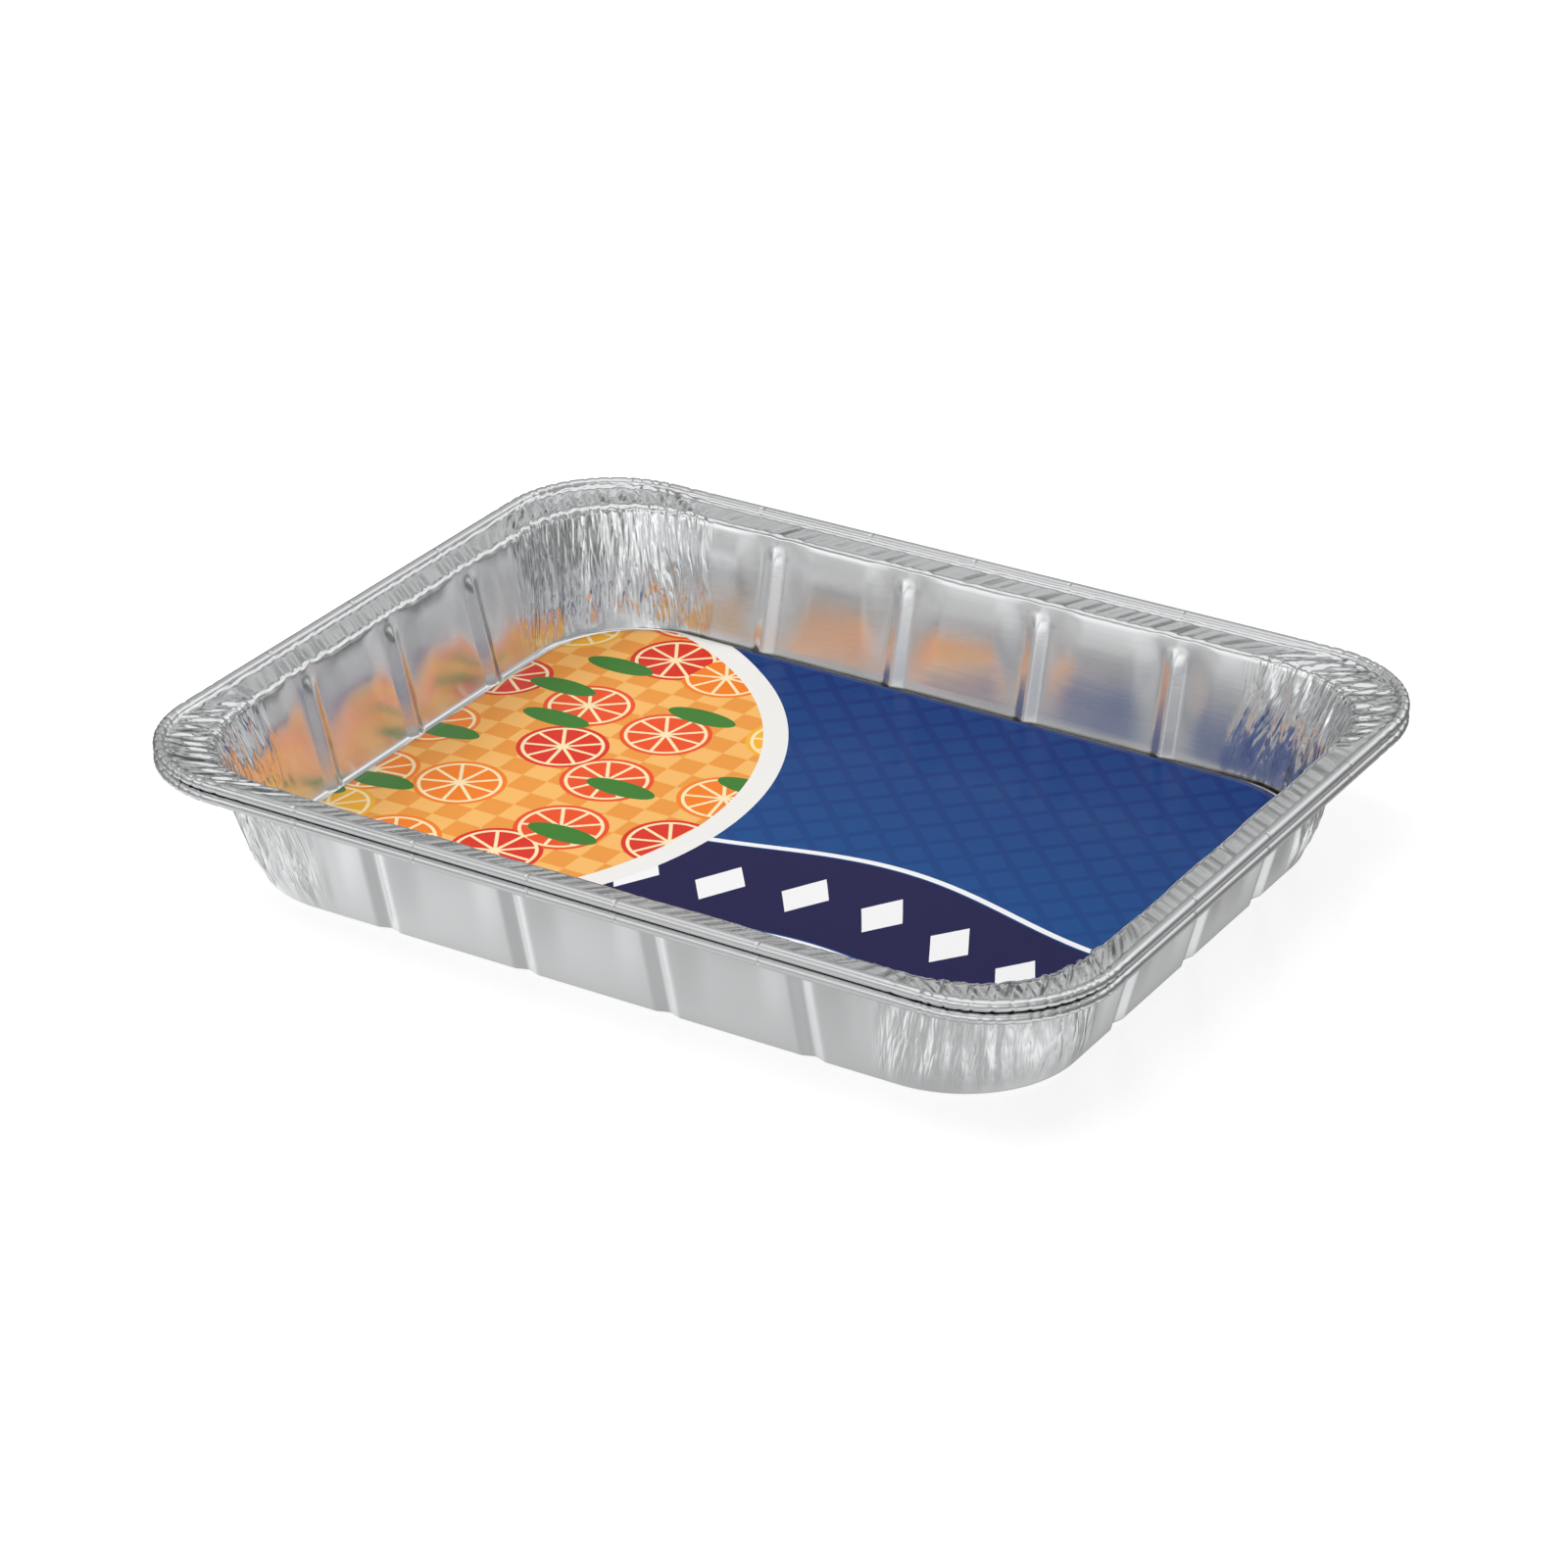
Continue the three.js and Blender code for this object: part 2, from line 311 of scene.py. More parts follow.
def pan_profile():
    """Points of the sheet from the middle of the base to the free edge of the curl, then back underneath."""
    bead_radius = BEAD_DIAMETER / 2
    root_z = PAN_HEIGHT - LEDGE_BELOW_CREST
    ledge_z = root_z - LEDGE_RISE
    floor_z = FOIL_GAUGE
    wall_height = ledge_z - floor_z
    top_out = -BEAD_DIAMETER - LEDGE_WIDTH
    foot_out = top_out - wall_height * math.tan(WALL_DRAFT)
    slope = math.atan2(LEDGE_RISE, LEDGE_WIDTH)
    base_turn = math.pi / 2 - WALL_DRAFT
    shoulder_turn = base_turn - slope
    base_reach = BASE_FILLET * math.tan(base_turn / 2)
    shoulder_reach = SHOULDER_RADIUS * math.tan(shoulder_turn / 2)
    points = []

    def add(out, z, radius, shrink=1, **weights):
        points.append({"out": out, "z": z, "radius": radius, "shrink": shrink, **weights})

    # Raised panel, foot and fillet
    panel = base_reach + FOOT_WIDTH + PANEL_STEP
    for shrink in BASE_SHARES:
        add(foot_out - panel, floor_z + PANEL_RISE, BASE_CORNER_RADIUS - panel, shrink)
    for step in range(PANEL_ROWS + 1):
        share = step / PANEL_ROWS
        inset = panel - PANEL_STEP * share
        add(foot_out - inset, floor_z + PANEL_RISE * (1 - ease(share)), BASE_CORNER_RADIUS - inset)
    for from_fillet, rib in ((FOOT_WIDTH / 2, 0), RIB_ON_FOOT):
        inset = base_reach + from_fillet
        add(foot_out - inset, floor_z, BASE_CORNER_RADIUS - inset, rib=rib)
    for step in range(FILLET_ROWS + 1):
        share = step / FILLET_ROWS
        angle = base_turn * share
        add(
            foot_out - base_reach + BASE_FILLET * math.sin(angle),
            floor_z + BASE_FILLET * (1 - math.cos(angle)),
            BASE_CORNER_RADIUS - base_reach * (1 - share),
            rib=1,
        )

    # Wall and shoulder
    foot_height = base_reach * math.cos(WALL_DRAFT)
    head_height = wall_height - shoulder_reach * math.cos(WALL_DRAFT)
    rib_end = head_height - RIB_TOP_DROP
    for step in range(1, WALL_ROWS + 1):
        share = 1 - (1 - step / WALL_ROWS) ** WALL_CROWDING
        height = blend(foot_height, head_height, share)
        hip = ease((height - rib_end + RIB_HIP) / RIB_HIP)
        past_peak = max(share - BOW_PEAK, 0) / (1 - BOW_PEAK)
        add(
            foot_out + height * math.tan(WALL_DRAFT),
            floor_z + height,
            blend(BASE_CORNER_RADIUS, LEDGE_CORNER_RADIUS, height / wall_height),
            rib=blend(1, RIB_TUCK, hip), hip=hip,
            wrinkle=ease(share / WRINKLE_START), dent=math.sin(math.pi * share),
            bow=blend(ease(share / BOW_PEAK), BOW_AT_SHOULDER, past_peak ** 2),
        )
    edge_out = top_out + shoulder_reach * math.cos(slope)
    edge_z = ledge_z + shoulder_reach * math.sin(slope)
    for step in range(1, SHOULDER_ROWS + 1):
        share = step / SHOULDER_ROWS
        angle = slope + shoulder_turn * (1 - share)
        add(
            edge_out + SHOULDER_RADIUS * (math.sin(slope) - math.sin(angle)),
            edge_z - SHOULDER_RADIUS * (math.cos(slope) - math.cos(angle)),
            LEDGE_CORNER_RADIUS,
            rib=RIB_TUCK * (1 - share), hip=1, bow=BOW_AT_SHOULDER * (1 - share),
            wrinkle=blend(1, WRINKLE_ON_LEDGE, share), pleat=PLEAT_AT_EDGE * share,
        )

    # Ledge and rolled bead
    root = math.pi + math.asin(LEDGE_BELOW_CREST / bead_radius - 1)
    root_out = bead_radius * (math.cos(root) - 1)
    for step in range(1, LEDGE_ROWS):
        share = step / LEDGE_ROWS
        add(
            blend(edge_out, root_out, share),
            blend(edge_z, root_z, share),
            blend(LEDGE_CORNER_RADIUS, RIM_CORNER_RADIUS + root_out, share),
            wrinkle=WRINKLE_ON_LEDGE * (1 - share),
            pleat=blend(1, PLEAT_BY_BEAD, max(share * 2 - 1, 0)),
        )
    for step in range(BEAD_ROWS + 1):
        share = step / BEAD_ROWS
        angle = root - math.radians(BEAD_TURN_DEG) * share
        out = bead_radius * (math.cos(angle) - 1)
        add(
            out,
            PAN_HEIGHT - bead_radius + bead_radius * math.sin(angle),
            RIM_CORNER_RADIUS + out,
            pleat=PLEAT_ON_BEAD * (1 - min(share / PLEAT_END_ON_BEAD, 1)),
            bead=ease(share / NICK_START_ON_BEAD),
        )

    # Which way the sheet faces, and how far it is along it from the middle of the base
    walked = 0
    for i, point in enumerate(points):
        before = points[max(i - 1, 0)]
        after = points[min(i + 1, len(points) - 1)]
        out_step, up_step = after["out"] - before["out"], after["z"] - before["z"]
        along = math.hypot(out_step, up_step)
        point["face_out"], point["face_up"] = (-up_step / along, out_step / along) if along else (0, 1)
        walked += math.hypot(point["out"] - before["out"], point["z"] - before["z"])
        point["rise"] = walked * MM
    return [{**p, "under": 0} for p in points] + [{**p, "under": 1} for p in reversed(points)]


def profile_line():
    """The profile as a line, whose points carry the sheet's shape and the strength of each mark."""
    points = pan_profile()

    def rows(*keys, unit=1):
        return [[point.get(key, 0) * unit for key in keys] for point in points]

    return line_of("foil_profile", [(i * MM, 0, 0) for i in range(len(points))], False, {
        "shape": rows("out", "z", "radius", unit=MM),
        "facing": rows("face_out", "face_up", "under"),
        "place": rows("shrink", "rise", "hip"),
        "folds": rows("rib", "wrinkle", "pleat"),
        "marks": rows("bead", "dent", "bow"),
    })


def side_stations(half, row):
    """Places along one side: close by the ribs and by the corners, wide between them."""
    places = {-half}
    reach = 0
    while reach < GATHER_REACH:
        places |= {-half + reach, half - reach}
        reach += GATHER_STEP
    for crest in row:
        places |= {crest + offset for offset in RIB_STATIONS}
    places = sorted(p for p in places if p < half)
    filled = []
    for here, after in zip(places, places[1:] + [half]):
        parts = max(1, math.ceil((after - here) / PLAIN_STEP))
        filled += [blend(here, after, k / parts) for k in range(parts)]
    return filled


def rim_path(name):
    """Closed line round the pan, with what the sweep needs to know at each place on it."""
    fields = {key: [] for key in PATH_FIELDS}
    points = []
    run = 0
    for turn, crimped in enumerate(CRIMPED):
        short = turn % 2 == 0
        across, along = CORE if short else CORE[::-1]
        still = STILL[1] if short else STILL[0]
        ribs, pitch = (SHORT_SIDE_RIBS, SHORT_RIB_PITCH) if short else (LONG_SIDE_RIBS, LONG_RIB_PITCH)
        row = [(i - (ribs - 1) / 2) * pitch for i in range(ribs)]
        stations = []
        for place in side_stations(along, row):
            slack = math.copysign(max(abs(place) - still, 0) / (along - still), place)
            gather = ease(1 - (along - abs(place)) / GATHER_REACH)
            stations.append((place, slack, 0, run + place + along, place, gather))
        run += 2 * along
        for step in range(CORNER_STEPS):
            angle = math.pi / 2 * step / CORNER_STEPS
            stations.append((along, 1, angle, run + LEDGE_CORNER_RADIUS * angle, FAR_FROM_RIBS, 1))
        run += LEDGE_CORNER_RADIUS * math.pi / 2
        for place, slack, angle, walked, rib_place, gather in stations:
            core = turned(turn, across, place)
            outward = turned(turn, math.cos(angle), math.sin(angle))
            points.append([(c + o * LEDGE_CORNER_RADIUS) * MM for c, o in zip(core, outward)])
            fields["core"].append([c * MM for c in core])
            fields["stretch"].append(turned(turn, 1, slack))
            fields["outward"].append(outward)
            fields["walk"].append((walked * MM, rib_place * MM, gather))
            fields["side"].append((int(short), crimped, 0))
    return line_of(name, points, True, fields)


PAN_INPUTS = {
    "Profile": "Object", "Foil": "Material", "Seed": "Float", "Lift": "Float", "Gauge": "Float",
    "Core to rim": "Vector",
    "Long side ribs": "Int", "Long rib pitch": "Float", "Short side ribs": "Int", "Short rib pitch": "Float",
    "Rib width": "Float", "Rib depth": "Float",
    "Wrinkle spacing": "Float", "Wrinkle depth": "Float",
    "Pleat spacing": "Float", "Pleat depth": "Float",
    "Crimp spacing": "Float", "Crimp depth": "Float",
    "Nick spacing": "Float", "Nick depth": "Float",
    "Dent width": "Float", "Dent depth": "Float", "Wall bow": "Float",
}


def pan_tree():
    """Sweeps the profile round the rim's path, then presses ribs, folds and dents square to the sheet."""
    tree = bpy.data.node_groups.new("foil_pan", "GeometryNodeTree")
    tree.interface.new_socket("Geometry", in_out="OUTPUT", socket_type="NodeSocketGeometry")
    for label, kind in {"Geometry": "Geometry", **PAN_INPUTS}.items():
        tree.interface.new_socket(label, in_out="INPUT", socket_type="NodeSocket" + kind)
    given = node(tree, "NodeGroupInput").node.outputs
    named = {
        key: node(tree, "GeometryNodeInputNamedAttribute", {"Name": key}, data_type="FLOAT_VECTOR")
        for key in PATH_FIELDS + PROFILE_FIELDS
    }
    split = {key: node(tree, SPLIT, [socket]).node.outputs for key, socket in named.items()}
    run, along, gather = split["walk"]
    out, height, radius = split["shape"]
    face_out, face_up, under = split["facing"]
    shrink, rise, hip = split["place"]
    rib_weight, wrinkle_weight, pleat_weight = split["folds"]
    bead_weight, dent_weight, bow_weight = split["marks"]
    short_side, crimped = split["side"][:2]
    seed = given["Seed"]

    # Ribs: distance to the nearest crest of the row on this side
    count = node(tree, MIX, [short_side, None, given["Long side ribs"], given["Short side ribs"]])
    pitch = node(tree, MIX, [short_side, None, given["Long rib pitch"], given["Short rib pitch"]])
    last = node(tree, MATH, [count, 0.5, -0.5], operation="MULTIPLY_ADD")
    first = node(tree, MATH, [last, -1.0], operation="MULTIPLY")
    place = node(tree, MATH, [along, pitch], operation="DIVIDE")
    place = node(tree, MATH, [place, last], operation="ADD")
    place = node(tree, MATH, [place], operation="ROUND")
    place = node(tree, MATH, [place, last], operation="SUBTRACT")
    place = node(tree, MATH, [place, last], operation="MINIMUM")
    place = node(tree, MATH, [place, first], operation="MAXIMUM")
    crest = node(tree, MATH, [place, pitch], operation="MULTIPLY")
    away = node(tree, MATH, [along, crest], operation="SUBTRACT")
    away = node(tree, MATH, [away], operation="ABSOLUTE")
    flank = node(tree, MATH, [hip, RIB_HIP_SPREAD, 0.5], operation="MULTIPLY_ADD")
    flank = node(tree, MATH, [flank, given["Rib width"]], operation="MULTIPLY")
    rib = node(tree, RANGE, {
        "Value": away, "From Min": RIB_CREST / 2 * MM, "From Max": flank, "To Min": 1.0, "To Max": 0.0,
    })
    rib = node(tree, MATH, [rib, rib_weight], operation="MULTIPLY")
    rib = node(tree, MATH, [rib, given["Rib depth"]], operation="MULTIPLY")
    rib = node(tree, MATH, [rib, -1.0], operation="MULTIPLY")

    # Corner wrinkles: tall folds with sharp valleys that wander sideways, over a set twice as close
    wander = node(tree, VECTOR, [node(tree, XYZ, [run, rise, seed]), WANDER_SCALE], operation="MULTIPLY")
    wander = node(tree, NOISE, {"Vector": wander, "Scale": 1.0, "Detail": 1.0})
    wander = node(tree, MATH, [wander, WANDER, seed], operation="MULTIPLY_ADD")
    folds_along = node(tree, MATH, [run, given["Wrinkle spacing"]], operation="DIVIDE")
    folds_along = node(tree, MATH, [folds_along, wander], operation="ADD")
    folds_up = node(tree, MATH, [rise, given["Wrinkle spacing"]], operation="DIVIDE")
    folds_up = node(tree, MATH, [folds_up, FOLD_SQUEEZE], operation="MULTIPLY")
    sheet_place = node(tree, XYZ, [folds_along, folds_up, seed])
    wrinkle = 0.0
    for closeness, share in FOLD_SETS:
        fold = node(tree, NOISE, {"Vector": sheet_place, "Scale": closeness, "Detail": 0.0})
        fold = node(tree, MATH, [fold, 0.5], operation="SUBTRACT")
        fold = node(tree, MATH, [fold], operation="ABSOLUTE")
        wrinkle = node(tree, MATH, [fold, share, wrinkle], operation="MULTIPLY_ADD")
    wrinkle = node(tree, MATH, [wrinkle, wrinkle_weight], operation="MULTIPLY")
    wrinkle = node(tree, MATH, [wrinkle, gather], operation="MULTIPLY")
    depth = node(tree, MATH, [wrinkle, given["Wrinkle depth"]], operation="MULTIPLY")

    # Ledge: radial pleats in the corners
    fan = node(tree, MATH, [run, given["Pleat spacing"]], operation="DIVIDE")
    fan = node(tree, MATH, [fan, wander], operation="ADD")
    pleat = node(tree, VORONOI, {"W": fan, "Scale": 1.0, "Randomness": PLEAT_SCATTER}, voronoi_dimensions="1D")
    pleat = node(tree, MATH, [pleat, 2.0, -0.5], operation="MULTIPLY_ADD")
    pleat = node(tree, MATH, [pleat, gather], operation="MULTIPLY")
    pleat = node(tree, MATH, [pleat, pleat_weight], operation="MULTIPLY")
    depth = node(tree, MATH, [pleat, given["Pleat depth"], depth], operation="MULTIPLY_ADD")

    # Ledge: slanted crimps along the sides
    slant = node(tree, MATH, [rise, CRIMP_SLANT, run], operation="MULTIPLY_ADD")
    slant = node(tree, MATH, [slant, given["Crimp spacing"]], operation="DIVIDE")
    crimp = node(tree, NOISE, {"W": slant, "Scale": 1.0, "Detail": 0.0}, noise_dimensions="1D")
    crimp = node(tree, MATH, [crimp, 0.5], operation="SUBTRACT")
    plain = node(tree, MATH, [1.0, gather], operation="SUBTRACT")
    for weight in (plain, crimped, pleat_weight):
        crimp = node(tree, MATH, [crimp, weight], operation="MULTIPLY")
    depth = node(tree, MATH, [crimp, given["Crimp depth"], depth], operation="MULTIPLY_ADD")

    # Bead: nicks where it is rolled round the corners
    nick_at = node(tree, MATH, [run, given["Nick spacing"]], operation="DIVIDE")
    nick_at = node(tree, MATH, [nick_at, seed], operation="ADD")
    close = node(
        tree, VORONOI, {"W": nick_at, "Scale": 1.0}, voronoi_dimensions="1D", feature="DISTANCE_TO_EDGE"
    )
    close = node(tree, RANGE, {"Value": close, "From Max": NICK_WIDTH, "To Min": 1.0, "To Max": 0.0})
    close = node(tree, MATH, [close, gather], operation="MULTIPLY")
    nick = node(tree, MATH, [close, bead_weight], operation="MULTIPLY")
    nick = node(tree, MATH, [nick, -1.0], operation="MULTIPLY")
    depth = node(tree, MATH, [nick, given["Nick depth"], depth], operation="MULTIPLY_ADD")

    # Soft dents that handling leaves in the flat of the wall
    soft = node(tree, VECTOR, [node(tree, XYZ, [run, rise, 0.0]), given["Dent width"]], operation="DIVIDE")
    soft = node(tree, NOISE, {"Vector": soft, "Scale": 1.0, "Detail": 0.5})
    soft = node(tree, MATH, [soft, 2.0, -1.0], operation="MULTIPLY_ADD")
    soft = node(tree, MATH, [soft, dent_weight], operation="MULTIPLY")
    depth = node(tree, MATH, [soft, given["Dent depth"], depth], operation="MULTIPLY_ADD")

    # Panels bow inwards between the ribs, which keep straight
    bow_start, bow_full = BOW_FROM_RIB
    panel = node(
        tree, RANGE, {"Value": away, "From Min": bow_start * MM, "From Max": bow_full * MM},
        interpolation_type="SMOOTHSTEP",
    )
    panel = node(tree, MATH, [panel, bow_weight], operation="MULTIPLY")
    depth = node(tree, MATH, [panel, given["Wall bow"], depth], operation="MULTIPLY_ADD")

    # Place of the sheet at this station and level, moved along its own normal
    below = node(tree, MATH, [under, given["Gauge"]], operation="MULTIPLY")
    depth = node(tree, MATH, [depth, below], operation="SUBTRACT")
    widening = node(tree, MATH, [out, radius], operation="SUBTRACT")
    widening = node(tree, XYZ, [widening, widening, 0.0])
    widening = node(tree, VECTOR, [widening, given["Core to rim"]], operation="ADD")
    widening = node(tree, VECTOR, [widening, named["stretch"]], operation="MULTIPLY")
    bend = node(tree, VECTOR, {0: named["outward"], "Scale": radius}, operation="SCALE")
    flat = node(tree, VECTOR, [named["core"], widening], operation="ADD")
    flat = node(tree, VECTOR, [flat, bend], operation="ADD")
    flat = node(tree, VECTOR, {0: flat, "Scale": shrink}, operation="SCALE")
    level = node(tree, MATH, [height, given["Lift"]], operation="ADD")
    spot = node(tree, VECTOR, [flat, node(tree, XYZ, [0.0, 0.0, level])], operation="ADD")
    normal = node(tree, VECTOR, {0: named["outward"], "Scale": face_out}, operation="SCALE")
    normal = node(tree, VECTOR, [normal, node(tree, XYZ, [0.0, 0.0, face_up])], operation="ADD")
    press = node(tree, VECTOR, {0: normal, "Scale": depth}, operation="SCALE")
    spot = node(tree, VECTOR, [spot, press], operation="ADD")
    ribbed = node(tree, VECTOR, {0: named["outward"], "Scale": rib}, operation="SCALE")
    spot = node(tree, VECTOR, [spot, ribbed], operation="ADD")

    path = node(tree, "GeometryNodeMeshToCurve", [given["Geometry"]])
    profile = node(tree, "GeometryNodeObjectInfo", [given["Profile"]], out="Geometry")
    profile = node(tree, "GeometryNodeMeshToCurve", [profile])
    sheet = node(tree, "GeometryNodeCurveToMesh", {"Curve": path, "Profile Curve": profile})
    sheet = node(tree, "GeometryNodeSetPosition", {"Geometry": sheet, "Position": spot})
    sheet = node(tree, "GeometryNodeMergeByDistance", {"Geometry": sheet, "Distance": MERGE_WITHIN * MM})
    sheet = node(tree, "GeometryNodeSetShadeSmooth", {"Geometry": sheet, "Shade Smooth": True})
    sheet = node(tree, "GeometryNodeRealizeInstances", [sheet])
    sheet = node(tree, "GeometryNodeSetMaterial", {"Geometry": sheet, "Material": given["Foil"]})
    node(tree, "NodeGroupOutput", [sheet])
    return tree


def formed(obj, tree, values):
    """Runs the tree on an object with these inputs and keeps the result as its plain mesh."""
    modifier = obj.modifiers.new("shape", "NODES")
    modifier.node_group = tree
    for item in tree.interface.items_tree:
        if item.in_out == "INPUT" and item.name in values:
            modifier[item.identifier] = values[item.name]
    depsgraph = bpy.context.evaluated_depsgraph_get()
    mesh = bpy.data.meshes.new_from_object(
        obj.evaluated_get(depsgraph), preserve_all_data_layers=True, depsgraph=depsgraph
    )
    obj.modifiers.remove(modifier)
    obj.data = mesh
    for key in SWEEP_ONLY:
        mesh.attributes.remove(mesh.attributes[key])
    return obj


def material(name):
    made = bpy.data.materials.new(name)
    made.use_nodes = True
    made.node_tree.nodes.clear()
    return made, made.node_tree


def rolled_foil():
    """Bright rolled aluminium foil: a soft mirror, streaked along the roll, creased where it is gathered."""
    made, tree = material("aluminium_foil_bright_rolled")
    place = node(tree, PLACE, out="Object")
    walk, level, folds, marks, side = (
        node(tree, SPLIT, [node(tree, FIELD, out="Vector", attribute_name=key)]).node.outputs
        for key in ("walk", "place", "folds", "marks", "side")
    )
    run, gather = walk[0], walk[2]
    rise, bead, crimped = level[1], marks[0], side[1]
    wall, ledge = folds[1:]

    # Roll lines about 1 mm apart, drawn coarse enough to show, over cloudy patches of 30 mm. The
    # gathered corners are burnished smoother, and the bead is rubbed dull.
    streak = node(tree, "ShaderNodeMapping", {"Vector": place, "Scale": ROLL_LINES})
    streak = node(tree, NOISE, {"Vector": streak, "Scale": 1.0, "Detail": 3.0})
    cloud = node(tree, NOISE, {"Vector": place, "Scale": CLOUDS, "Detail": 3.0})
    rough = node(tree, MIX, [CLOUD_SHARE, None, streak, cloud])
    rough = node(tree, RANGE, {
        "Value": rough, "From Min": 0.3, "From Max": 0.7, "To Min": SMOOTHEST, "To Max": ROUGHEST,
    })
    tight = node(tree, RANGE, {"Value": gather, "To Min": 1.0, "To Max": CORNER_BURNISH})
    rough = node(tree, MATH, [rough, tight], operation="MULTIPLY")
    rough = node(tree, MATH, [bead, BEAD_DULLNESS, rough], operation="MULTIPLY_ADD")
    tone = node(tree, RAMP, [cloud])
    tone.node.color_ramp.elements[0].color = linear("#dfe0e1")
    tone.node.color_ramp.elements[1].color = linear("#ecedee")

    # Fine creases 2 mm by 12 mm that follow the folds up the corners
    sheet = node(tree, XYZ, [run, rise, 0.0])
    crease = node(tree, VECTOR, [sheet, CREASES], operation="MULTIPLY")
    crease = node(tree, NOISE, {"Vector": crease, "Scale": 1.0, "Detail": 1.0}, noise_dimensions="2D")
    crease = node(tree, MATH, [crease, 0.5], operation="SUBTRACT")
    crease = node(tree, MATH, [crease], operation="ABSOLUTE")
    crease = node(tree, MATH, [crease, gather], operation="MULTIPLY")
    crease = node(tree, MATH, [crease, wall], operation="MULTIPLY")
    # Edges of the slanted crimps that are pressed across the ledge, keenest in the corners
    slant = node(tree, MATH, [rise, CRIMP_SLANT, run], operation="MULTIPLY_ADD")
    slant = node(tree, MATH, [slant, 1 / (CRIMP_SPACING * MM)], operation="MULTIPLY")
    wave = node(tree, NOISE, {"W": slant, "Scale": 1.0, "Detail": 0.0}, noise_dimensions="1D")
    crimp = node(tree, VORONOI, {"W": slant, "Scale": 1.0}, voronoi_dimensions="1D")
    crimp = node(tree, MATH, [crimp, CRIMP_EDGE, wave], operation="MULTIPLY_ADD")
    crimp = node(tree, MATH, [crimp, ledge], operation="MULTIPLY")
    crimped = node(tree, MATH, [crimped, SIDE_CRIMP_RELIEF], operation="MULTIPLY")
    keen = node(tree, RANGE, {"Value": gather, "To Min": crimped, "To Max": CORNER_CRIMP_RELIEF})
    # Lone nicks across the straight bead, some 40 mm apart
    nick = node(tree, MATH, [run, LONE_NICKS], operation="MULTIPLY")
    nick = node(tree, VORONOI, {"W": nick, "Scale": 1.0}, voronoi_dimensions="1D", feature="DISTANCE_TO_EDGE")
    nick = node(tree, RANGE, {"Value": nick, "From Max": LONE_NICK_WIDTH})
    nick = node(tree, MATH, [nick, bead], operation="MULTIPLY")
    relief = node(tree, MATH, [crease, CREASE_RELIEF], operation="MULTIPLY")
    for mark, share in ((streak, ROLL_RELIEF), (crimp, keen), (nick, NICK_RELIEF)):
        relief = node(tree, MATH, [mark, share, relief], operation="MULTIPLY_ADD")
    bump = node(tree, BUMP, {"Strength": RELIEF_STRENGTH, "Distance": RELIEF * MM, "Height": relief})
    shader = node(tree, SHADER, {"Base Color": tone, "Metallic": 1.0, "Roughness": rough, "Normal": bump})
    node(tree, FINISH, {"Surface": shader})
    return made


